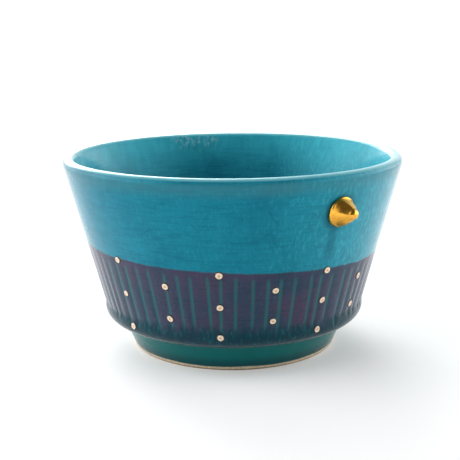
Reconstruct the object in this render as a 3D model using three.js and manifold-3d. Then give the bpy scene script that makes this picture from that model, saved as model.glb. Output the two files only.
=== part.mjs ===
// A small ceramic dessert cup: a thrown, flaring cup on a turned foot ring, with raised slip dots
// round its lower band and one gold-lustred cone stuck on the wall. Millimetres, +Z up, with the
// origin under the centre of the foot. -Y is the front, and azimuths run from there towards +X.
import * as THREE from 'three';
import { mergeVertices } from 'three/addons/utils/BufferGeometryUtils.js';
import Module from 'manifold-3d';

const wasm = await Module();
wasm.setup();

// Cup, outside
const HEIGHT = 66;
const RIM_RADIUS = 57.5;
const LIP_ROUND = 2.1;
const SHOULDER_TOP = { radius: 44.85, z: 16.5 };
const FOOT_TOP = { radius: 38.6, z: 9.2 };
const SHOULDER_TILT = THREE.MathUtils.degToRad(10.5);
const SHOULDER_REACH = 8;
const SHOULDER_LEAD = 0.95;
const NECK_FILLET = 0.8;
const FOOT_RADIUS = 35;
const FOOT_CHAMFER = 0.6;

// Cup, inside and underneath
const INNER_TURN = { radius: 41, z: 20.5 };
const INNER_HEEL = { radius: 30, z: 11.6 };
const INNER_PULL = 0.8;
const FLOOR_Z = 11;
const FOOT_RING_WIDTH = 5;
const RECESS_DEPTH = 5;
const RECESS_DRAFT = 1.2;
const RECESS_FILLET = 1.5;

// Slip dots: a group of columns on the front and one on the back, where columns of three dots and of
// two take turns
const DOT_GROUPS = 2;
const DOT_COLUMNS = 6;
const DOT_ROWS = 5;
const DOT_FIRST_AZIMUTH = THREE.MathUtils.degToRad(-46.25);
const DOT_COLUMN_STEP = THREE.MathUtils.degToRad(20.5);
const DOT_TOP_Z = 35.6;
const DOT_STEP_Z = 5.35;
const DOT_TILT = 1.9;
const DOT_RADIUS = 1.2;
const DOT_CROWN = { radius: 0.95, out: 0.24 };
const DOT_HEIGHT = 0.3;
const DOT_ROOT = 0.5;

// Gold cone
const CONE_AZIMUTH = THREE.MathUtils.degToRad(36);
const CONE_RISE = THREE.MathUtils.degToRad(1);
const CONE_Z = 53.8;
const CONE_RADIUS = 4.8;
const CONE_FLARE = { radius: 4.3, out: 1.5 };
const CONE_NECK = { radius: 3.6, out: 2.2 };
const CONE_LENGTH = 7.4;
const CONE_TIP_ROUND = 1.4;
const CONE_NARROWING = 0.92;
const CONE_ROOT = 4;
const SEAT_GAP = 0.3;

// Facets
const CUP_SEGMENTS = 72;
const CONE_SEGMENTS = 24;
const DOT_SEGMENTS = 8;
const CURVE_STEPS = 5;

// The straight wall leans outward by this much, and the lip is a half round across it.
const lipCentre = { radius: RIM_RADIUS - LIP_ROUND, z: HEIGHT - LIP_ROUND };
const wallLean = Math.asin(
    LIP_ROUND / Math.hypot(lipCentre.radius - SHOULDER_TOP.radius, lipCentre.z - SHOULDER_TOP.z),
) + Math.atan2(lipCentre.radius - SHOULDER_TOP.radius, lipCentre.z - SHOULDER_TOP.z);

function wallRadius(z) {
    return SHOULDER_TOP.radius + Math.max(0, z - SHOULDER_TOP.z) * Math.tan(wallLean);
}

// The unit direction that an azimuth and a rise above the level point to.
function outward(azimuth, rise) {
    return new THREE.Vector3(
        Math.cos(rise) * Math.sin(azimuth),
        -Math.cos(rise) * Math.cos(azimuth),
        Math.sin(rise),
    );
}

// A place on the outside of the wall: X runs round the cup, Y up and Z out of the wall.
function wallSeat(azimuth, rise, z) {
    const along = new THREE.Vector3(Math.cos(azimuth), Math.sin(azimuth), 0);
    const out = outward(azimuth, rise);
    const up = out.clone().cross(along);
    const point = outward(azimuth, 0).multiplyScalar(wallRadius(z)).setZ(z);
    return new THREE.Matrix4().makeBasis(along, up, out).setPosition(point);
}

// A profile of radius and height turned about +Z.
function turned(points, segments) {
    return new THREE.LatheGeometry(points, segments).rotateX(Math.PI / 2);
}

function solidOf(geometry) {
    const bare = geometry.clone();
    bare.deleteAttribute('normal');
    bare.deleteAttribute('uv');
    const merged = mergeVertices(bare);
    return new wasm.Manifold(new wasm.Mesh({
        numProp: 3,
        vertProperties: new Float32Array(merged.attributes.position.array),
        triVerts: new Uint32Array(merged.index.array),
    }));
}

function geometryOf(solid) {
    const { vertProperties, triVerts } = solid.getMesh();
    const geometry = new THREE.BufferGeometry();
    geometry.setAttribute('position', new THREE.BufferAttribute(vertProperties, 3));
    geometry.setIndex(new THREE.BufferAttribute(triVerts, 1));
    geometry.computeVertexNormals();
    return geometry;
}

// Half section of the cup, from the axis under the foot, up the outside, over the lip and down inside.
function cupProfile() {
    const footInner = FOOT_RADIUS - FOOT_RING_WIDTH;
    const recessRadius = footInner - RECESS_DRAFT;
    const path = new THREE.Path();
    path.moveTo(0, RECESS_DEPTH);
    path.lineTo(recessRadius - RECESS_FILLET, RECESS_DEPTH);
    path.quadraticCurveTo(recessRadius, RECESS_DEPTH, recessRadius, RECESS_DEPTH - RECESS_FILLET);
    path.lineTo(footInner - FOOT_CHAMFER, FOOT_CHAMFER);
    path.lineTo(footInner, 0);
    path.lineTo(FOOT_RADIUS - FOOT_CHAMFER, 0);
    path.lineTo(FOOT_RADIUS, FOOT_CHAMFER);
    path.lineTo(FOOT_TOP.radius - NECK_FILLET / 2, FOOT_TOP.z - NECK_FILLET);
    path.quadraticCurveTo(
        FOOT_TOP.radius,
        FOOT_TOP.z,
        FOOT_TOP.radius + NECK_FILLET,
        FOOT_TOP.z + NECK_FILLET * Math.tan(SHOULDER_TILT),
    );
    path.bezierCurveTo(
        FOOT_TOP.radius + SHOULDER_REACH * Math.cos(SHOULDER_TILT),
        FOOT_TOP.z + SHOULDER_REACH * Math.sin(SHOULDER_TILT),
        SHOULDER_TOP.radius - SHOULDER_LEAD * Math.sin(wallLean),
        SHOULDER_TOP.z - SHOULDER_LEAD * Math.cos(wallLean),
        SHOULDER_TOP.radius,
        SHOULDER_TOP.z,
    );
    path.absarc(lipCentre.radius, lipCentre.z, LIP_ROUND, -wallLean, Math.PI - wallLean, false);
    path.lineTo(INNER_TURN.radius, INNER_TURN.z);
    const innerDrop = (INNER_TURN.z - INNER_HEEL.z) * INNER_PULL;
    path.bezierCurveTo(
        INNER_TURN.radius - innerDrop * Math.tan(wallLean),
        INNER_TURN.z - innerDrop,
        (INNER_TURN.radius + INNER_HEEL.radius) / 2,
        INNER_HEEL.z + (INNER_HEEL.z - FLOOR_Z) / 2,
        INNER_HEEL.radius,
        INNER_HEEL.z,
    );
    path.lineTo(0, FLOOR_Z);
    return path.getPoints(CURVE_STEPS);
}

// One low dome of slip, with its root inside the wall.
function slipDot(azimuth, z) {
    const points = [
        new THREE.Vector2(0, -DOT_ROOT),
        new THREE.Vector2(DOT_RADIUS, -DOT_ROOT),
        new THREE.Vector2(DOT_RADIUS, 0),
        new THREE.Vector2(DOT_CROWN.radius, DOT_CROWN.out),
        new THREE.Vector2(0, DOT_HEIGHT),
    ];
    const rise = z > SHOULDER_TOP.z ? -wallLean : 0;
    return turned(points, DOT_SEGMENTS).applyMatrix4(wallSeat(azimuth, rise, z));
}

// Azimuth and height of every dot. The rows sink a little towards +X at the top of the band.
function dotPlaces() {
    const places = [];
    const fall = DOT_STEP_Z * (DOT_ROWS - 1);
    for (let index = 0; index < DOT_GROUPS * DOT_COLUMNS; index += 1) {
        const column = index % DOT_COLUMNS;
        const turn = (2 * Math.PI * Math.floor(index / DOT_COLUMNS)) / DOT_GROUPS;
        const azimuth = DOT_FIRST_AZIMUTH + turn + column * DOT_COLUMN_STEP;
        for (let row = column % 2; row < DOT_ROWS; row += 2) {
            const drop = row * DOT_STEP_Z;
            const tilt = DOT_TILT * Math.sin(azimuth) * (1 - drop / fall);
            places.push({ azimuth, z: DOT_TOP_Z - drop - tilt });
        }
    }
    return places;
}

function cupGeometry() {
    let cup = solidOf(turned(cupProfile(), CUP_SEGMENTS));
    for (const { azimuth, z } of dotPlaces()) {
        cup = cup.add(solidOf(slipDot(azimuth, z)));
    }
    return geometryOf(cup);
}

// The space that the cone stays out of: the wall, grown by the gap under the cone.
function wallWithGap() {
    const low = CONE_Z - 2 * CONE_RADIUS;
    const grow = SEAT_GAP / Math.cos(wallLean);
    return solidOf(turned([
        new THREE.Vector2(0, low),
        new THREE.Vector2(wallRadius(low) + grow, low),
        new THREE.Vector2(wallRadius(HEIGHT) + grow, HEIGHT),
        new THREE.Vector2(0, HEIGHT),
    ], CUP_SEGMENTS));
}

// Hand-rolled cone: a spread base, a drawn-in neck and a blunt tip, a little narrower than tall.
function coneGeometry() {
    const tipCentre = CONE_LENGTH - CONE_TIP_ROUND;
    const path = new THREE.Path();
    path.moveTo(0, -CONE_ROOT);
    path.lineTo(CONE_RADIUS, -CONE_ROOT);
    path.lineTo(CONE_RADIUS, 0);
    path.quadraticCurveTo(CONE_FLARE.radius, CONE_FLARE.out, CONE_NECK.radius, CONE_NECK.out);
    const taper = Math.atan2(CONE_NECK.radius - CONE_TIP_ROUND, tipCentre - CONE_NECK.out);
    path.absarc(0, tipCentre, CONE_TIP_ROUND, taper, Math.PI / 2, false);
    const geometry = turned(path.getPoints(CURVE_STEPS), CONE_SEGMENTS);
    geometry.scale(CONE_NARROWING, 1, 1).applyMatrix4(wallSeat(CONE_AZIMUTH, CONE_RISE, CONE_Z));
    return geometryOf(solidOf(geometry).subtract(wallWithGap()));
}

const glaze = new THREE.MeshStandardMaterial({ color: 0x1f8ba3, roughness: 0.22, metalness: 0 });
const gold = new THREE.MeshStandardMaterial({ color: 0xd9a13b, roughness: 0.2, metalness: 1 });

function piece(name, geometry, material) {
    const mesh = new THREE.Mesh(geometry, material);
    mesh.name = name;
    return mesh;
}

const dessertCup = new THREE.Group();
dessertCup.add(piece('cup_body', cupGeometry(), glaze));
dessertCup.add(piece('gold_cone', coneGeometry(), gold));

export default dessertCup;
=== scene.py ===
"""A flaring turquoise dessert cup with a dark striped band, cream slip dots and one gold cone.

The cup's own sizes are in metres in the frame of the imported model: +Z is up, the origin is under
the centre of the foot, and azimuths run from the front, -Y, towards +X.
"""

import logging
import math
from collections.abc import Mapping, Sequence
from dataclasses import dataclass, field
from enum import Enum
from itertools import pairwise, product
from typing import Union

import bpy
import numpy as np
from mathutils import Euler, Matrix, Vector


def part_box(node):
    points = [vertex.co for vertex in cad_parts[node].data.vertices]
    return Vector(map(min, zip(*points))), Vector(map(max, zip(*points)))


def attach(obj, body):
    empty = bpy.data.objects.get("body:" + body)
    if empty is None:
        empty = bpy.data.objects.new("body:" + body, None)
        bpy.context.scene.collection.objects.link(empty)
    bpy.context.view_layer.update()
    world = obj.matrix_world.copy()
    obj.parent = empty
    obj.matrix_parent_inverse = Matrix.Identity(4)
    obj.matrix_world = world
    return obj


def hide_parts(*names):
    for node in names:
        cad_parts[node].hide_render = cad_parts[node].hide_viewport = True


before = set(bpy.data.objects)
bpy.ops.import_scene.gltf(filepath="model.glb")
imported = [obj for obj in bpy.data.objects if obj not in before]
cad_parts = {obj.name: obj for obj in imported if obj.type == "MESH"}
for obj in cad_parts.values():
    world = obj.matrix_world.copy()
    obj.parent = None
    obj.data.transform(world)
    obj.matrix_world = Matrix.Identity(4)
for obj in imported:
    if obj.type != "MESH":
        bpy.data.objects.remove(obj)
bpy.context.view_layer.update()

LOG = logging.getLogger("dessert_cup")
MM = 0.001
ROOT_BODY = "root"

Colour = tuple[float, float, float]
Direction = tuple[float, float, float]
Place = tuple[float, float, float]
Point = tuple[float, float]
Value = Union["Signal", float, Sequence[float]]
Height = Union[float, np.ndarray]


class PointMark(Enum):
    """The numbers that the pieces' meshes keep at their points."""

    STRIPE = "stripe"
    OUTSIDE = "outside"
    SPREAD = "spread"


class Signal:
    """An output socket that takes part in Python arithmetic, which adds Math nodes."""

    def __init__(self, board: "NodeBoard", socket: bpy.types.NodeSocket) -> None:
        """Keeps the socket and the board that its node stands on."""
        self.board = board
        self.socket = socket

    def out(self, name: str) -> "Signal":
        """Another output of the same node."""
        return Signal(self.board, self.socket.node.outputs[name])

    def _maths(self, operation: str, first: Value, second: Value) -> "Signal":
        """One Math node on two values."""
        return self.board.add("ShaderNodeMath", {"operation": operation}, {0: first, 1: second})

    def __add__(self, other: Value) -> "Signal":
        """self + other."""
        return self._maths("ADD", self, other)

    def __radd__(self, other: Value) -> "Signal":
        """other + self."""
        return self._maths("ADD", other, self)

    def __sub__(self, other: Value) -> "Signal":
        """self - other."""
        return self._maths("SUBTRACT", self, other)

    def __rsub__(self, other: Value) -> "Signal":
        """other - self."""
        return self._maths("SUBTRACT", other, self)

    def __mul__(self, other: Value) -> "Signal":
        """self * other."""
        return self._maths("MULTIPLY", self, other)

    def __rmul__(self, other: Value) -> "Signal":
        """other * self."""
        return self._maths("MULTIPLY", other, self)

    def __truediv__(self, other: Value) -> "Signal":
        """self / other."""
        return self._maths("DIVIDE", self, other)

    def __pow__(self, other: Value) -> "Signal":
        """self ** other."""
        return self._maths("POWER", self, other)

    def rise(self, low: float, high: float) -> "Signal":
        """A soft step.

        Args:
            low: the value where the step is 0.
            high: the value where it is 1, which may be below low.

        Returns:
            The step, from 0 to 1.
        """
        return self.board.add(
            "ShaderNodeMapRange",
            {"interpolation_type": "SMOOTHSTEP"},
            {"Value": self, "From Min": low, "From Max": high},
        )


class NodeBoard:
    """The node tree of a material or of the world."""

    def __init__(self, tree: bpy.types.NodeTree) -> None:
        """Takes an empty tree."""
        self.tree = tree

    @classmethod
    def of_material(cls, name: str) -> "NodeBoard":
        """Starts a new material.

        Args:
            name: the material's name.

        Returns:
            A board with nothing on it.
        """
        material = bpy.data.materials.new(name)
        material.use_nodes = True
        material.node_tree.nodes.clear()
        return cls(material.node_tree)

    def add(
        self,
        kind: str,
        settings: Mapping[str, object] | None = None,
        inputs: Mapping[Union[str, int], Value] | None = None,
        output: Union[str, int] = 0,
    ) -> Signal:
        """Adds any node.

        Args:
            kind: the node's type.
            settings: its own properties, set first.
            inputs: the values or links of its sockets.
            output: which output to return.

        Returns:
            The chosen output.
        """
        node = self.tree.nodes.new(kind)
        for key, value in (settings or {}).items():
            setattr(node, key, value)
        for key, value in (inputs or {}).items():
            socket = node.inputs[key]
            if isinstance(value, Signal):
                self.tree.links.new(value.socket, socket)
            elif socket.type == "RGBA":
                socket.default_value = (*value, 1.0)
            else:
                socket.default_value = value
        return Signal(self, node.outputs[output] if node.outputs else None)

    def noise(self, vector: Signal, scale: float, detail: float = 2.0) -> Signal:
        """Soft noise about 0.5, with features of about 1 / scale metres."""
        return self.add(
            "ShaderNodeTexNoise", None, {"Vector": vector, "Scale": scale, "Detail": detail}, "Fac"
        )

    def stretch(self, vector: Signal, by: Sequence[float]) -> Signal:
        """A vector with each axis multiplied."""
        return self.add("ShaderNodeVectorMath", {"operation": "MULTIPLY"}, {0: vector, 1: by})

    def attribute(self, mark: PointMark) -> Signal:
        """A number that the mesh keeps at its points."""
        return self.add("ShaderNodeAttribute", {"attribute_name": mark.value}, None, "Fac")

    def lay(self, under: Value, over: Value, share: Value) -> Signal:
        """One colour over another.

        Args:
            under: the colour below.
            over: the colour above.
            share: how much of it shows, from 0 to 1.

        Returns:
            The mixed colour.
        """
        return self.add("ShaderNodeMix", {"data_type": "RGBA"}, {0: share, 6: under, 7: over}, 2)

    def bump(self, height: Signal, distance: float, strength: float) -> Signal:
        """A normal that follows a height, which spans distance metres from 0 to 1."""
        return self.add(
            "ShaderNodeBump", None, {"Height": height, "Distance": distance, "Strength": strength}
        )

    def finish(self, inputs: Mapping[str, Value]) -> bpy.types.Material:
        """Ends a material in one surface shader.

        Args:
            inputs: the shader's sockets.

        Returns:
            The material that owns the tree.
        """
        shader = self.add("ShaderNodeBsdfPrincipled", None, inputs)
        self.add("ShaderNodeOutputMaterial", None, {"Surface": shader})
        return next(m for m in bpy.data.materials if m.node_tree == self.tree)


class Bench:
    """The steps of modelling by hand that several pieces share."""

    @staticmethod
    def clear() -> None:
        """Deselects everything."""
        bpy.ops.object.select_all(action="DESELECT")

    @staticmethod
    def pick(*pieces: bpy.types.Object) -> None:
        """Selects these pieces alone.

        Args:
            pieces: the pieces, of which the first becomes the active one.
        """
        Bench.clear()
        for piece in pieces:
            piece.select_set(True)
        bpy.context.view_layer.objects.active = pieces[0]

    @staticmethod
    def turn(name: str, section: Sequence[Point], steps: int) -> bpy.types.Object:
        """Draws a half section edge by edge and spins it round +Z.

        Args:
            name: the new piece's name.
            section: radius and height of each corner, from the axis back to the axis.
            steps: how many times the section is repeated round the axis.

        Returns:
            A closed piece whose faces point out.
        """
        Bench.clear()
        bpy.ops.mesh.primitive_plane_add(size=MM)
        piece = bpy.context.object
        piece.name = name
        piece.data.name = name
        bpy.ops.object.mode_set(mode="EDIT")
        bpy.ops.mesh.select_all(action="SELECT")
        bpy.ops.mesh.merge(type="CENTER")
        radius, height = section[0]
        bpy.ops.transform.translate(value=(radius, 0.0, height))
        for (radius, height), (next_radius, next_height) in pairwise(section):
            step = (next_radius - radius, 0.0, next_height - height)
            bpy.ops.mesh.extrude_region_move(TRANSFORM_OT_translate={"value": step})
        bpy.ops.mesh.select_all(action="SELECT")
        bpy.ops.mesh.spin(steps=steps, angle=math.tau, center=(0, 0, 0), axis=(0, 0, 1))
        bpy.ops.mesh.select_all(action="SELECT")
        bpy.ops.mesh.remove_doubles(threshold=MM / 1000)
        bpy.ops.mesh.normals_make_consistent(inside=False)
        bpy.ops.object.mode_set(mode="OBJECT")
        bpy.ops.object.shade_smooth()
        return piece

    @staticmethod
    def points(piece: bpy.types.Object) -> np.ndarray:
        """Reads a mesh's points.

        Args:
            piece: the piece whose mesh it is.

        Returns:
            Their places, one row each.
        """
        places = np.empty(len(piece.data.vertices) * 3)
        piece.data.vertices.foreach_get("co", places)
        return places.reshape(-1, 3)

    @staticmethod
    def place(piece: bpy.types.Object, places: np.ndarray) -> None:
        """Puts a mesh's points in these places."""
        piece.data.vertices.foreach_set("co", places.ravel())
        piece.data.update()

    @staticmethod
    def keep(piece: bpy.types.Object, mark: PointMark, values: np.ndarray) -> None:
        """Keeps one number for each point of a mesh."""
        attribute = piece.data.attributes.new(mark.value, "FLOAT", "POINT")
        attribute.data.foreach_set("value", values.astype(np.float32))

    @staticmethod
    def wear(piece: bpy.types.Object, material: bpy.types.Material) -> None:
        """Gives a piece its only material."""
        piece.data.materials.clear()
        piece.data.materials.append(material)


def arc(centre: Point, radius: float, start: float, end: float, steps: int) -> list[Point]:
    """Points of a round stretch.

    Args:
        centre: the round's centre.
        radius: its radius.
        start: the angle of its first point.
        end: the angle of its last point.
        steps: how many chords it has.

    Returns:
        The points from start to end.
    """
    angles = np.linspace(start, end, steps + 1)
    return [(centre[0] + radius * math.cos(a), centre[1] + radius * math.sin(a)) for a in angles]


def curve(corners: Sequence[Point], steps: int) -> list[Point]:
    """Points of a Bezier curve.

    Args:
        corners: three or four control points.
        steps: how many chords the curve has.

    Returns:
        The points from the first corner to the last.
    """
    degree = len(corners) - 1
    share = np.linspace(0.0, 1.0, steps + 1)[:, None]
    places = sum(
        math.comb(degree, i) * (1 - share) ** (degree - i) * share**i * np.array(corner)
        for i, corner in enumerate(corners)
    )
    return [tuple(p) for p in places]


def line(start: Point, end: Point, steps: int) -> list[Point]:
    """Evenly spaced points from start to end."""
    return [tuple(p) for p in np.linspace(start, end, steps + 1)]


def soft_step(value: np.ndarray, low: Height, high: Height) -> np.ndarray:
    """Rises smoothly from 0 where value is low to 1 where it is high."""
    share = np.clip((value - low) / (high - low), 0.0, 1.0)
    return share * share * (3.0 - 2.0 * share)


@dataclass
class Wall:
    """The outside of the cup's wall, which the band, the dots and the cone sit on."""

    height: float
    rim_radius: float
    lip_round: float = 2.1 * MM
    shoulder_radius: float = 44.85 * MM
    shoulder_z: float = 16.5 * MM

    @property
    def lip_centre(self) -> Point:
        """Centre of the lip's round."""
        return self.rim_radius - self.lip_round, self.height - self.lip_round

    @property
    def lean(self) -> float:
        """The lean of the straight wall.

        Returns:
            How far it leans out from upright, in radians.
        """
        across = self.lip_centre[0] - self.shoulder_radius
        up = self.lip_centre[1] - self.shoulder_z
        return math.asin(self.lip_round / math.hypot(across, up)) + math.atan2(across, up)

    def radius(self, z: Height) -> Height:
        """The wall's radius at a height."""
        return self.shoulder_radius + np.maximum(z - self.shoulder_z, 0.0) * math.tan(self.lean)

    def seat(self, azimuth: float, rise: float, z: float) -> Matrix:
        """A place on the wall.

        Args:
            azimuth: the place's azimuth, in radians.
            rise: how far its outward axis points above the level, in radians.
            z: its height.

        Returns:
            A matrix with X round the cup, Y up and Z out of the wall.
        """
        along = Vector((math.cos(azimuth), math.sin(azimuth), 0.0))
        level = Vector((math.sin(azimuth), -math.cos(azimuth), 0.0))
        out = level * math.cos(rise) + Vector((0.0, 0.0, math.sin(rise)))
        basis = Matrix((along, out.cross(along), out)).transposed().to_4x4()
        spot = level * float(self.radius(z)) + Vector((0.0, 0.0, z))
        return Matrix.Translation(spot) @ basis


@dataclass
class DarkBand:
    """The violet band round the lower wall and the stripes scratched through it."""

    top_z: float = 36.4 * MM
    top_tilt: float = 2.0 * MM
    stripes: int = 66
    first_azimuth: float = math.radians(1.4)
    stripe_facets: int = 12
    groove_points: tuple[float, ...] = (-1.5, -1.0, -0.5, 0.0, 0.5, 1.0, 1.5)
    groove_width: float = 0.66 * MM
    groove_depth: float = 0.17 * MM
    groove_sharpness: float = 1.4
    rib_height: float = 0.08 * MM
    top_relief: float = 0.35
    spacing_drift: float = 0.13
    lean_spread: float = 0.45 * MM
    lean_limit: float = 0.55 * MM
    lean_from: tuple[float, float] = (9 * MM, 13 * MM)
    start_gap: tuple[float, float] = (0.1 * MM, 1.1 * MM)
    end_z: tuple[float, float] = (12.2 * MM, 16.0 * MM)
    fade: float = 2.4 * MM
    underside_z: float = 10.5 * MM
    seed: int = 11

    @property
    def facets(self) -> int:
        """How many facets the cup has round its axis, so that each stripe has its own."""
        return self.stripes * self.stripe_facets

    def top(self, azimuth: np.ndarray) -> np.ndarray:
        """Height of the band's upper edge at an azimuth."""
        return self.top_z - self.top_tilt * np.sin(azimuth)

    def carve(self, piece: bpy.types.Object, wall: Wall) -> None:
        """Gathers the facets at the stripes, cuts the grooves and keeps where they are.

        Args:
            piece: the turned cup.
            wall: the wall that the stripes run down.
        """
        places = Bench.points(piece)
        radius = np.hypot(places[:, 0], places[:, 1])
        z = places[:, 2]
        facet = np.rint(np.arctan2(places[:, 0], -places[:, 1]) * self.facets / math.tau).astype(int)
        facet %= self.facets
        stripe = facet // self.stripe_facets
        step = facet % self.stripe_facets

        draw = np.random.default_rng(self.seed)
        pitch = math.tau / self.stripes
        drift = draw.uniform(-self.spacing_drift, self.spacing_drift, self.stripes)
        centre = self.first_azimuth + (np.arange(self.stripes) + drift) * pitch
        lean = draw.normal(0.0, self.lean_spread, self.stripes)
        lean = lean.clip(-self.lean_limit, self.lean_limit)
        start = draw.uniform(*self.start_gap, self.stripes)
        end = draw.uniform(*self.end_z, self.stripes)

        half = self.groove_width * max(self.groove_points) / wall.shoulder_radius
        following = np.append(centre[1:], centre[0] + math.tau)
        near = np.array(self.groove_points) * self.groove_width / wall.shoulder_radius
        spare = self.stripe_facets - len(near)
        gap = np.arange(1, spare + 1) / (spare + 1)
        between = half + gap[None, :] * (following - centre - 2 * half)[:, None]
        offsets = np.hstack([np.repeat(near[None, :], self.stripes, axis=0), between])

        drop = np.clip((self.top_z - z) / (self.top_z - self.end_z[0]), 0.0, 1.0)
        outer = self.outside(radius, z, wall)
        share = np.concatenate([np.zeros(len(near)), gap])[step]
        slant = lean[stripe] * (1 - share) + np.roll(lean, -1)[stripe] * share
        shift = slant / wall.shoulder_radius * drop * outer * soft_step(z, *self.lean_from)
        azimuth = centre[stripe] + offsets[stripe, step] + shift

        across = np.where(step < len(near), np.abs(offsets[stripe, step]), half * 2)
        across = across * wall.shoulder_radius / self.groove_width
        top = self.top(azimuth) - start[stripe]
        length = soft_step(z, end[stripe], end[stripe] + self.fade) * soft_step(z, top, top - self.fade)
        groove = np.exp(-self.groove_sharpness * across**2) * length * outer
        crown = 4 * share * (1 - share) * length * outer

        relief = self.top_relief + (1 - self.top_relief) * drop
        radius = radius + relief * (crown * self.rib_height - groove * self.groove_depth)
        turned = np.column_stack([radius * np.sin(azimuth), -radius * np.cos(azimuth), z])
        Bench.place(piece, turned)
        Bench.keep(piece, PointMark.STRIPE, groove)
        Bench.keep(piece, PointMark.OUTSIDE, outer)

    def outside(self, radius: np.ndarray, z: np.ndarray, wall: Wall) -> np.ndarray:
        """1 on the cup's outside and underneath, 0 on its inside."""
        return np.where((radius > wall.radius(z) - wall.lip_round) | (z < self.underside_z), 1.0, 0.0)


@dataclass(frozen=True)
class Marks:
    """The place on the cup and the noises that its glaze is made of."""

    spot: Signal
    z: Signal
    side: Signal
    back: Signal
    outside: Signal
    clouds: Signal
    runs: Signal
    rings: Signal
    flecks: Signal
    grain: Signal

    @classmethod
    def on(cls, board: NodeBoard) -> "Marks":
        """Reads the place and makes the noises.

        Args:
            board: the cup's board.

        Returns:
            The cup's marks.
        """
        spot = board.add("ShaderNodeTexCoord", None, None, "Object")
        x = board.add("ShaderNodeSeparateXYZ", None, {0: spot})
        y = x.out("Y")
        radius = (x * x + y * y) ** 0.5
        return cls(
            spot=spot,
            z=x.out("Z"),
            side=x / radius,
            back=y / radius,
            outside=board.attribute(PointMark.OUTSIDE),
            clouds=board.noise(spot, 55.0, 3.0),
            runs=board.noise(board.stretch(spot, (1.0, 1.0, 0.12)), 420.0, 3.0),
            rings=board.noise(board.stretch(spot, (0.07, 0.07, 1.0)), 1500.0, 3.0),
            flecks=board.noise(board.stretch(spot, (1.0, 1.0, 0.35)), 1100.0, 2.0),
            grain=board.noise(spot, 1900.0, 2.0),
        )


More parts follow.
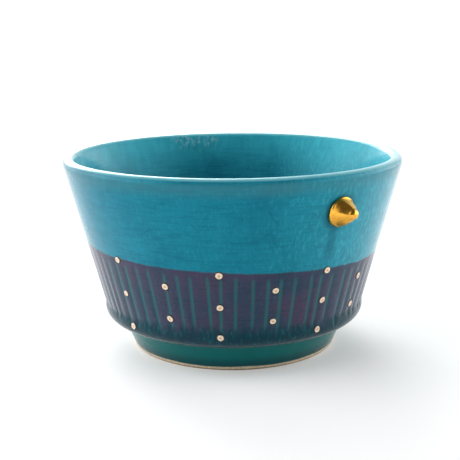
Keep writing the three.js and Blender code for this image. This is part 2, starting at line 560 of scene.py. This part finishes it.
@dataclass(frozen=True)
class CupGlaze:
    """Turquoise glaze over cream clay, with a violet band and a teal foot."""

    height: float
    band: DarkBand
    cone_spot: Place
    turquoise: Colour = (0.008, 0.178, 0.255)
    turquoise_deep: Colour = (0.003, 0.105, 0.165)
    turquoise_pale: Colour = (0.045, 0.430, 0.520)
    lip_pale: Colour = (0.240, 0.560, 0.610)
    grey_ring: Colour = (0.050, 0.165, 0.195)
    # Painted reflection of a soft light: a pale flecked patch inside, near the back rim.
    painted_reflection: Colour = (0.480, 0.620, 0.640)
    violet: Colour = (0.064, 0.038, 0.080)
    violet_blue: Colour = (0.032, 0.041, 0.076)
    stripe: Colour = (0.022, 0.112, 0.112)
    shoulder: Colour = (0.003, 0.026, 0.038)
    foot: Colour = (0.003, 0.112, 0.105)
    clay: Colour = (0.440, 0.340, 0.220)
    clay_pale: Colour = (0.600, 0.500, 0.360)
    clay_bottom_brown: Colour = (0.150, 0.080, 0.030)
    blush: Colour = (0.260, 0.075, 0.200)
    sheen: Colour = (0.10, 0.50, 0.60)
    drip_side: float = math.sin(math.radians(34.5))
    painted_reflection_towards: Point = (-0.28, 0.96)
    clay_z: float = 1.4 * MM
    foot_z: float = 9.6 * MM
    gloss: float = 0.14
    ior: float = 1.40
    relief: float = 0.10 * MM
    relief_share: float = 0.6

    def material(self) -> bpy.types.Material:
        """Lays the wall, the band, the foot and the bare clay over each other.

        Returns:
            The cup's one material.
        """
        board = NodeBoard.of_material("cup_glaze")
        marks = Marks.on(board)
        z = marks.z
        crackle = self._crackle(board, marks)
        wander = (board.noise(marks.spot, 140.0, 2.0) - 0.5) * (1.1 * MM)
        edge = wander + (self.band.top_z - self.band.top_tilt * marks.side)
        under_edge = (z - edge).rise(0.35 * MM, -0.35 * MM) * marks.outside
        colour = board.lay(self._wall(board, marks, crackle), self._band(board, marks), under_edge)

        foot = board.lay(self.foot, self.shoulder, z.rise(6 * MM, 2 * MM) * 0.6 + marks.runs * 0.2)
        colour = board.lay(colour, foot, z.rise(self.foot_z + 0.5 * MM, self.foot_z) * marks.outside)
        clay_top = self.clay_z + (marks.clouds - 0.5) * (0.7 * MM)
        bare = (z - clay_top).rise(0.15 * MM, -0.15 * MM)
        clay = board.lay(self.clay, self.clay_pale, marks.grain.rise(0.4, 0.65))
        # Browner along the bottom edge of the bare clay, next to the table.
        clay = board.lay(clay, self.clay_bottom_brown, z.rise(0.7 * MM, 0.3 * MM) * 0.8)
        colour = board.lay(colour, clay, bare)

        rough = (marks.grain - 0.5) * 0.08 + (marks.clouds - 0.5) * 0.06 + self.gloss
        rough = rough + under_edge * 0.05 + bare * 0.5
        height = marks.clouds * 2.5 + marks.runs * 0.8 + marks.rings * 0.5 + marks.grain * 0.15
        return board.finish({
            "Base Color": colour,
            "Roughness": rough,
            "Normal": board.bump(height - crackle * 0.25, self.relief, self.relief_share),
            "IOR": self.ior,
            "Specular Tint": self.sheen,
        })

    def _wall(self, board: NodeBoard, marks: Marks, crackle: Signal) -> Signal:
        """The turquoise of the wall, paler at the lip; painted light makes it paler inside, under the lip
        and on one side.

        Args:
            board: the cup's board.
            marks: the cup's marks.
            crackle: where the craze lines are.

        Returns:
            The colour.
        """
        deep = self.turquoise_deep
        pale = self.turquoise_pale
        # Painted light: the inside is mixed a little paler all over to brighten it.
        colour = board.lay(self.turquoise, pale, 0.22 - marks.outside * 0.22)
        colour = board.lay(colour, deep, marks.clouds.rise(0.42, 0.72) * 0.5)
        colour = board.lay(colour, deep, marks.rings.rise(0.42, 0.72) * 0.45)
        colour = board.lay(colour, pale, marks.runs.rise(0.4, 0.8) * 0.07)
        colour = board.lay(colour, deep, marks.grain.rise(0.4, 0.75) * 0.4)
        colour = board.lay(colour, pale, marks.flecks.rise(0.5, 0.8) * 0.12)
        colour = board.lay(colour, deep, crackle * 0.4)
        colour = board.lay(colour, pale, self._specks(board, marks.spot, 90.0, 0.87) * marks.outside)
        # Painted light: the +X side is mixed paler where the light from that side falls, and its pale
        # flecks are painted reflections.
        painted_lit_side = marks.side.rise(0.0, 0.95)
        colour = board.lay(colour, pale, painted_lit_side * (marks.flecks.rise(0.4, 0.8) * 0.42 + 0.2))
        drip = ((marks.side - self.drip_side) ** 2.0).rise(0.0014, 0.0) * marks.z.rise(34 * MM, 43 * MM)
        drip = drip * marks.z.rise(58 * MM, 50 * MM) * marks.back.rise(0.0, -0.1) * marks.outside
        colour = board.lay(colour, deep, drip * 0.6)
        # Darker round the cone's base: partly glaze pooled at the join, partly painted contact shade.
        ends = {0: marks.spot, 1: self.cone_spot}
        pooled_glaze_and_shade = board.add("ShaderNodeVectorMath", {"operation": "DISTANCE"}, ends, "Value")
        colour = board.lay(colour, deep, pooled_glaze_and_shade.rise(7.2 * MM, 4.6 * MM) * 0.8)
        # Painted light: the inside is paler below the lip, where more light reaches it.
        painted_light_under_lip = marks.z.rise(self.height - 16 * MM, self.height - 2 * MM) * (1.0 - marks.outside)
        colour = board.lay(colour, pale, painted_light_under_lip * (marks.runs.rise(0.3, 0.8) * 0.2 + 0.42))
        # A greyer ring on the outside, a few millimetres below the lip.
        grey_ring = marks.z.rise(self.height - 7.0 * MM, self.height - 3.0 * MM)
        grey_ring = grey_ring * marks.z.rise(self.height - 0.8 * MM, self.height - 2.0 * MM) * marks.outside
        colour = board.lay(colour, self.grey_ring, grey_ring * (marks.clouds * 0.6 + 0.15))
        # Painted reflection: a pale flecked patch just under the lip inside, towards the back and a little
        # to -X.
        painted_reflection = marks.side * self.painted_reflection_towards[0] + marks.back * self.painted_reflection_towards[1]
        painted_reflection = painted_reflection.rise(0.975, 0.996) * marks.flecks.rise(0.45, 0.68) * (1.0 - marks.outside)
        painted_reflection = painted_reflection * marks.z.rise(self.height - 6.5 * MM, self.height - 3 * MM)
        colour = board.lay(colour, self.painted_reflection, painted_reflection * 0.28)
        lip = marks.z.rise(self.height - 1.0 * MM, self.height - 0.1 * MM)
        return board.lay(colour, self.lip_pale, lip * (marks.clouds * 0.5 + 0.5))

    def _band(self, board: NodeBoard, marks: Marks) -> Signal:
        """The violet of the band with its stripes, darker and mottled round the shoulder.

        Args:
            board: the cup's board.
            marks: the cup's marks.

        Returns:
            The colour.
        """
        colour = board.lay(self.violet, self.violet_blue, marks.clouds.rise(0.35, 0.7))
        colour = board.lay(colour, self.shoulder, marks.rings.rise(0.45, 0.75) * 0.35)
        colour = board.lay(colour, self.shoulder, marks.grain.rise(0.4, 0.75) * 0.3)
        colour = board.lay(colour, self.turquoise, marks.flecks.rise(0.55, 0.8) * 0.12)
        colour = board.lay(colour, self.blush, self._specks(board, marks.spot, 130.0, 0.94))
        stripe = board.attribute(PointMark.STRIPE).rise(0.1, 0.9)
        colour = board.lay(colour, self.stripe, stripe * (marks.runs * 0.7 + 0.34))
        low = (marks.z + (marks.runs - 0.5) * (6 * MM)).rise(19 * MM, 14.5 * MM)
        mottled = board.lay(self.shoulder, self.foot, marks.flecks.rise(0.5, 0.75) * 0.6)
        return board.lay(colour, mottled, low * 0.85)

    @staticmethod
    def _crackle(board: NodeBoard, marks: Marks) -> Signal:
        """Long fine craze lines, in patches.

        Args:
            board: the cup's board.
            marks: the cup's marks.

        Returns:
            1 on a line, 0 off it.
        """
        bend = board.add("ShaderNodeTexNoise", None, {"Vector": marks.spot, "Scale": 45.0}, "Color")
        bent = board.add(
            "ShaderNodeVectorMath",
            {"operation": "MULTIPLY_ADD"},
            {0: bend, 1: (0.02, 0.02, 0.02), 2: board.stretch(marks.spot, (0.22, 0.22, 1.3))},
        )
        cells = board.add(
            "ShaderNodeTexVoronoi", {"feature": "DISTANCE_TO_EDGE"}, {"Vector": bent, "Scale": 75.0}
        )
        return cells.rise(0.03, 0.0) * marks.clouds.rise(0.35, 0.6)

    @staticmethod
    def _specks(board: NodeBoard, spot: Signal, scale: float, rarity: float) -> Signal:
        """A few tiny specks.

        Args:
            board: the cup's board.
            spot: the place on the cup.
            scale: one over the size of the cells that a speck can be in, in metres.
            rarity: the share of cells that are left without one.

        Returns:
            1 in a speck, 0 elsewhere.
        """
        cells = board.add("ShaderNodeTexVoronoi", None, {"Vector": spot, "Scale": scale}, "Distance")
        chance = board.add("ShaderNodeSeparateColor", None, {0: cells.out("Color")}, "Red")
        return cells.rise(0.07, 0.03) * chance.rise(rarity, rarity + 0.02)


@dataclass
class CupBody:
    """The thrown cup: hollow, with a half-round lip, a tight shoulder and a turned foot ring."""

    wall: Wall
    cone_spot: Place
    band: DarkBand = field(default_factory=DarkBand)
    foot_top: Point = (38.6 * MM, 9.2 * MM)
    shoulder_tilt: float = math.radians(10.5)
    shoulder_reach: float = 8 * MM
    shoulder_lead: float = 0.95 * MM
    neck_fillet: float = 0.8 * MM
    foot_radius: float = 35 * MM
    foot_chamfer: float = 0.6 * MM
    foot_ring_width: float = 5 * MM
    recess_depth: float = 5 * MM
    recess_draft: float = 1.2 * MM
    recess_fillet: float = 1.5 * MM
    inner_turn: Point = (41 * MM, 20.5 * MM)
    inner_heel: Point = (30 * MM, 11.6 * MM)
    inner_pull: float = 0.8
    floor_z: float = 11 * MM

    def section(self) -> list[Point]:
        """Draws the cup's half section.

        Returns:
            Its corners, from under the foot, up the outside and down the inside.
        """
        wall = self.wall
        inner = self.foot_radius - self.foot_ring_width
        recess = inner - self.recess_draft
        deep = self.recess_depth
        recess_end = (recess - self.recess_fillet, deep)
        chamfer = self.foot_chamfer
        neck = (self.foot_top[0] - self.neck_fillet / 2, self.foot_top[1] - self.neck_fillet)
        slope = math.tan(self.shoulder_tilt)
        under = (self.foot_top[0] + self.neck_fillet, self.foot_top[1] + self.neck_fillet * slope)
        shoulder = (wall.shoulder_radius, wall.shoulder_z)
        reach = (
            self.foot_top[0] + self.shoulder_reach * math.cos(self.shoulder_tilt),
            self.foot_top[1] + self.shoulder_reach * math.sin(self.shoulder_tilt),
        )
        lead = (
            shoulder[0] - self.shoulder_lead * math.sin(wall.lean),
            shoulder[1] - self.shoulder_lead * math.cos(wall.lean),
        )
        lip = arc(wall.lip_centre, wall.lip_round, -wall.lean, math.pi - wall.lean, 12)
        drop = (self.inner_turn[1] - self.inner_heel[1]) * self.inner_pull
        heel = [
            self.inner_turn,
            (self.inner_turn[0] - drop * math.tan(wall.lean), self.inner_turn[1] - drop),
            (
                (self.inner_turn[0] + self.inner_heel[0]) / 2,
                self.inner_heel[1] + (self.inner_heel[1] - self.floor_z) / 2,
            ),
            self.inner_heel,
        ]
        band_top = (float(wall.radius(self.band.top_z)), self.band.top_z)
        parts = [
            line((0.0, deep), recess_end, 4),
            curve([recess_end, (recess, deep), (recess, deep - self.recess_fillet)], 4),
            [(inner - chamfer, chamfer), (inner, 0.0), (self.foot_radius - chamfer, 0.0)],
            line((self.foot_radius, chamfer), neck, 6),
            curve([neck, self.foot_top, under], 4),
            curve([under, reach, lead, shoulder], 14),
            line(shoulder, band_top, 22),
            line(band_top, lip[0], 10),
            lip,
            line(lip[-1], self.inner_turn, 12),
            curve(heel, 8),
            line(self.inner_heel, (0.0, self.floor_z), 4),
        ]
        outline: list[Point] = []
        for part in parts:
            fresh = part if not outline or math.dist(outline[-1], part[0]) > MM / 1000 else part[1:]
            outline.extend(fresh)
        return outline

    def build(self) -> bpy.types.Object:
        """Models the cup and dresses it.

        Returns:
            The cup, standing for its solid.
        """
        cup = Bench.turn("cup", self.section(), self.band.facets)
        self.band.carve(cup, self.wall)
        Bench.wear(cup, CupGlaze(self.wall.height, self.band, self.cone_spot).material())
        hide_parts("cup_body")
        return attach(cup, ROOT_BODY)


@dataclass(frozen=True)
class CreamSlip:
    """Satin cream slip, browner in the dimple, in a dark ring of drawn-up glaze and painted shade."""

    cream: Colour = (0.780, 0.630, 0.480)
    middle: Colour = (0.560, 0.310, 0.160)
    # Dark ring round each dot: glaze drawn up round it, with painted shade.
    collar: Colour = (0.004, 0.012, 0.018)

    def material(self) -> bpy.types.Material:
        """Colours each dot by how far out from its middle a point is.

        Returns:
            The dots' one material.
        """
        board = NodeBoard.of_material("cream_slip")
        spot = board.add("ShaderNodeTexCoord", None, None, "Object")
        spread = board.attribute(PointMark.SPREAD)
        mottle = board.noise(spot, 1500.0, 2.0)
        uneven = spread + (mottle - 0.5) * 0.25
        colour = board.lay(self.middle, self.cream, uneven.rise(0.15, 0.62))
        # Painted shade: the dark ring at each dot's edge, together with the glaze drawn up there.
        rim = spread.rise(0.93, 1.02)
        colour = board.lay(colour, self.collar, rim)
        return board.finish({
            "Base Color": colour,
            "Roughness": (mottle - 0.5) * 0.15 + 0.42 - rim * 0.2,
            "Normal": board.bump(mottle, 0.05 * MM, 0.3),
        })


@dataclass
class SlipDots:
    """Low dots of slip, in a group of columns on the front and one on the back.

    In each group, columns of three dots and of two take turns. The dimple is in shares of a dot's
    radius and height.
    """

    wall: Wall
    groups: int = 2
    columns: int = 6
    rows: int = 5
    first_azimuth: float = math.radians(-46.25)
    column_step: float = math.radians(20.5)
    top_z: float = 35.6 * MM
    row_step: float = 5.35 * MM
    tilt: float = 1.9 * MM
    radius: float = 1.04 * MM
    height: float = 0.24 * MM
    collar: float = 0.34 * MM
    collar_height: float = 0.09 * MM
    root: float = 0.3 * MM
    dimple: tuple[Point, ...] = ((0.45, 0.98), (0.25, 0.80), (0.0, 0.74))
    facets: int = 28
    drift: float = 0.25 * MM
    squeeze: float = 0.08
    seed: int = 5

    def section(self) -> list[Point]:
        """Draws the half section of one dot.

        Returns:
            Its corners, from its root up to the dimple in its crown.
        """
        foot = self.radius + self.collar
        start = math.asin(self.collar_height / self.height)
        return [
            (0.0, -self.root),
            (foot, -self.root),
            (foot, self.collar_height / 2),
            (foot - self.collar / 4, self.collar_height),
            *arc((self.radius - self.height, 0.0), self.height, start, math.pi / 2, 6),
            *((self.radius * out, self.height * up) for out, up in self.dimple),
        ]

    def places(self) -> list[tuple[float, float]]:
        """Places the dots.

        Returns:
            Azimuth and height of each dot, in order round the cup.
        """
        fall = self.row_step * (self.rows - 1)
        found = []
        for group, column in product(range(self.groups), range(self.columns)):
            azimuth = self.first_azimuth + math.tau * group / self.groups + self.column_step * column
            for row in range(column % 2, self.rows, 2):
                drop = row * self.row_step
                tilt = self.tilt * math.sin(azimuth) * (1 - drop / fall)
                found.append((azimuth, self.top_z - drop - tilt))
        return found

    def build(self) -> bpy.types.Object:
        """Models one dot, copies it to each place and joins the copies.

        Returns:
            All the dots as one piece.
        """
        dot = Bench.turn("slip_dots", self.section(), self.facets)
        spread = np.hypot(*Bench.points(dot)[:, :2].T) / self.radius
        Bench.keep(dot, PointMark.SPREAD, spread)
        draw = np.random.default_rng(self.seed)
        dots = [dot]
        for _ in self.places()[1:]:
            Bench.pick(dot)
            bpy.ops.object.duplicate()
            dots.append(bpy.context.object)
        for piece, (azimuth, z) in zip(dots, self.places()):
            aside, rise = draw.uniform(-self.drift, self.drift, 2)
            wide, tall = 1 + draw.uniform(-self.squeeze, self.squeeze, 2)
            lean = -self.wall.lean if z > self.wall.shoulder_z else -self.wall.lean / 2
            seat = self.wall.seat(azimuth + aside / self.wall.shoulder_radius, lean, z + rise)
            turn = Matrix.Rotation(draw.uniform(0, math.pi), 4, "Z")
            piece.data.transform(seat @ turn @ Matrix.Diagonal((wide, tall, 1.0, 1.0)))
        Bench.pick(*dots)
        bpy.ops.object.join()
        Bench.wear(dot, CreamSlip().material())
        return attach(dot, ROOT_BODY)


@dataclass(frozen=True)
class GoldLustre:
    """Fired gold lustre: bright, a little uneven, darker with wear in its hollows."""

    bright: Colour = (0.860, 0.430, 0.060)
    deep: Colour = (0.480, 0.190, 0.012)
    pit: Colour = (0.120, 0.050, 0.010)
    gloss: float = 0.25

    def material(self) -> bpy.types.Material:
        """Mottles the gold and pits it.

        Returns:
            The cone's one material.
        """
        board = NodeBoard.of_material("gold_lustre")
        spot = board.add("ShaderNodeTexCoord", None, None, "Object")
        mottle = board.noise(spot, 700.0, 3.0)
        speck = board.noise(spot, 2600.0, 2.0)
        pits = speck.rise(0.70, 0.78)
        colour = board.lay(self.bright, self.deep, mottle.rise(0.45, 0.75) * 0.6)
        colour = board.lay(colour, self.pit, pits * 0.6)
        return board.finish({
            "Base Color": colour,
            "Metallic": 1.0,
            "Roughness": (mottle - 0.5) * 0.2 + self.gloss + pits * 0.2,
            "Normal": board.bump(mottle * 0.7 + speck * 0.3, 0.12 * MM, 0.3),
        })


@dataclass
class GoldCone:
    """The hand-rolled cone: a spread base on the wall, a drawn-in neck and a blunt tip."""

    wall: Wall
    azimuth: float = math.radians(36)
    rise: float = math.radians(1)
    z: float = 53.8 * MM
    radius: float = 4.8 * MM
    rim_round: float = 0.9 * MM
    waist: Point = (3.5 * MM, 3.4 * MM)
    length: float = 7.0 * MM
    tip_round: float = 1.9 * MM
    bedding: float = 0.2 * MM
    dent_angle: float = 2.5
    dent_spread: float = 0.5
    dent_depth: float = 0.14
    facets: int = 72

    @property
    def seat(self) -> Matrix:
        """The cone's place on the wall."""
        return self.wall.seat(self.azimuth, self.rise, self.z)

    def section(self) -> list[Point]:
        """Draws the cone's half section.

        Returns:
            Its corners, from the middle of the base to the tip.
        """
        rim_centre = (self.radius - self.rim_round, self.rim_round * 0.7)
        rim = arc(rim_centre, self.rim_round, math.radians(-70), math.radians(50), 8)
        tip = arc((0.0, self.length - self.tip_round), self.tip_round, math.radians(18), math.pi / 2, 8)
        return [
            *line((0.0, -self.bedding), (rim[0][0], -self.bedding), 4),
            *rim,
            *curve([rim[-1], self.waist, tip[0]], 12)[1:],
            *tip[1:-1],
            (0.0, self.length),
        ]

    def shape(self, piece: bpy.types.Object) -> None:
        """Presses the turned cone out of true and beds its base on the round wall.

        Args:
            piece: the turned cone, on the axis.
        """
        places = Bench.points(piece)
        u, v, w = places.T
        angle = np.arctan2(v, u)
        along = np.clip(w / self.length, 0.0, 1.0)
        body = soft_step(along, 0.0, 0.3)
        swell = 0.035 * np.cos(2 * angle + 1.0) + 0.025 * np.cos(3 * angle - 0.6)
        swell = swell + 0.02 * np.cos(5 * angle + 6 * along)
        dent = np.exp(-(((angle - self.dent_angle) / self.dent_spread) ** 2)) * soft_step(along, 0.45, 0.7)
        grow = 1 + swell * body - self.dent_depth * dent
        sag = np.sqrt(self.wall.radius(self.z + v) ** 2 - u**2) - self.wall.radius(self.z)
        w = w + sag * (1 - along) ** 2
        Bench.place(piece, np.column_stack([u * grow, v * grow, w]))

    def build(self) -> bpy.types.Object:
        """Models the cone and dresses it.

        Returns:
            The cone, standing for its solid.
        """
        cone = Bench.turn("cone", self.section(), self.facets)
        self.shape(cone)
        cone.data.transform(self.seat)
        Bench.wear(cone, GoldLustre().material())
        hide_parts("gold_cone")
        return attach(cone, ROOT_BODY)


@dataclass(frozen=True)
class Lobe:
    """A soft patch of light in the surroundings, between two cosines about a direction."""

    towards: Direction
    edge: float
    core: float
    strength: float

    def glow(self, board: NodeBoard, way: Signal) -> Signal:
        """Lights one direction.

        Args:
            board: the world's board.
            way: the direction that is looked in.

        Returns:
            The patch's strength there.
        """
        ends = {0: way, 1: tuple(Vector(self.towards).normalized())}
        share = board.add("ShaderNodeVectorMath", {"operation": "DOT_PRODUCT"}, ends, "Value")
        return share.rise(self.edge, self.core) * self.strength


@dataclass
class Studio:
    """A white table, soft light from the sides and behind, and the photograph's camera."""

    table_size: float = 12.0
    paper: Colour = (0.88, 0.88, 0.88)
    paper_glow: float = 0.12
    camera_back: float = 329.1 * MM
    camera_up: float = 111.7 * MM
    pitch: float = math.radians(12.52)
    yaw: float = math.radians(-0.19)
    roll: float = math.radians(-0.58)
    lens_mm: float = 75.7
    lobes: tuple[Lobe, ...] = (
        Lobe((0.0, 1.0, 0.0), 0.2, 0.9, 1.25),
        Lobe((-1.0, 0.1, 0.0), 0.45, 0.95, 1.7),
        Lobe((1.0, 0.0, 0.0), 0.50, 0.95, 3.3),
        Lobe((-0.28, 0.85, 0.42), 0.91, 0.97, 6.5),
        Lobe((-0.95, -0.15, 0.45), 0.75, 0.98, 2.9),
    )
    ambient: float = 0.11

    def build_table(self) -> bpy.types.Object:
        """Lays the pale table top.

        Returns:
            The table, which isn't part of the object.
        """
        Bench.clear()
        bpy.ops.mesh.primitive_plane_add(size=self.table_size)
        table = bpy.context.object
        table.name = "table"
        board = NodeBoard.of_material("paper")
        Bench.wear(table, board.finish({
            "Base Color": self.paper,
            "Roughness": 0.9,
            "Emission Color": (1.0, 1.0, 1.0),
            "Emission Strength": self.paper_glow,
        }))
        return table

    def light(self) -> None:
        """Surroundings that are bright at the sides and behind, and dim behind the camera."""
        world = bpy.data.worlds.new("studio")
        bpy.context.scene.world = world
        world.use_nodes = True
        world.node_tree.nodes.clear()
        board = NodeBoard(world.node_tree)
        way = board.add("ShaderNodeTexCoord", None, None, "Generated")
        glow = sum((lobe.glow(board, way) for lobe in self.lobes), self.ambient)
        sky = board.add("ShaderNodeBackground", None, {"Color": (1.0, 1.0, 1.0), "Strength": glow})
        board.add("ShaderNodeOutputWorld", None, {"Surface": sky})

    def aim_camera(self) -> None:
        """Puts the camera where the photograph was taken from."""
        bpy.ops.object.camera_add(location=(0.0, -self.camera_back, self.camera_up))
        camera = bpy.context.object
        camera.data.lens = self.lens_mm
        level = Euler((math.pi / 2 - self.pitch, 0.0, -self.yaw)).to_matrix()
        camera.rotation_euler = (level @ Matrix.Rotation(self.roll, 3, "Z")).to_euler()
        camera.data.clip_start = MM
        bpy.context.scene.camera = camera

    def build(self) -> None:
        """Sets the whole studio up."""
        self.build_table()
        self.light()
        self.aim_camera()
        bpy.context.scene.view_settings.view_transform = "Standard"


def main() -> None:
    """Builds the cup, its dots, the cone and the studio, and reports each piece."""
    logging.basicConfig(level=logging.INFO)
    _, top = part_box("cup_body")
    wall = Wall(height=top.z, rim_radius=top.x)
    cone = GoldCone(wall)
    for part in (CupBody(wall, tuple(cone.seat.translation)), SlipDots(wall), cone):
        piece = part.build()
        LOG.info("%s: %d faces", piece.name, len(piece.data.polygons))
    Studio().build()


if __name__ == "__main__":
    main()
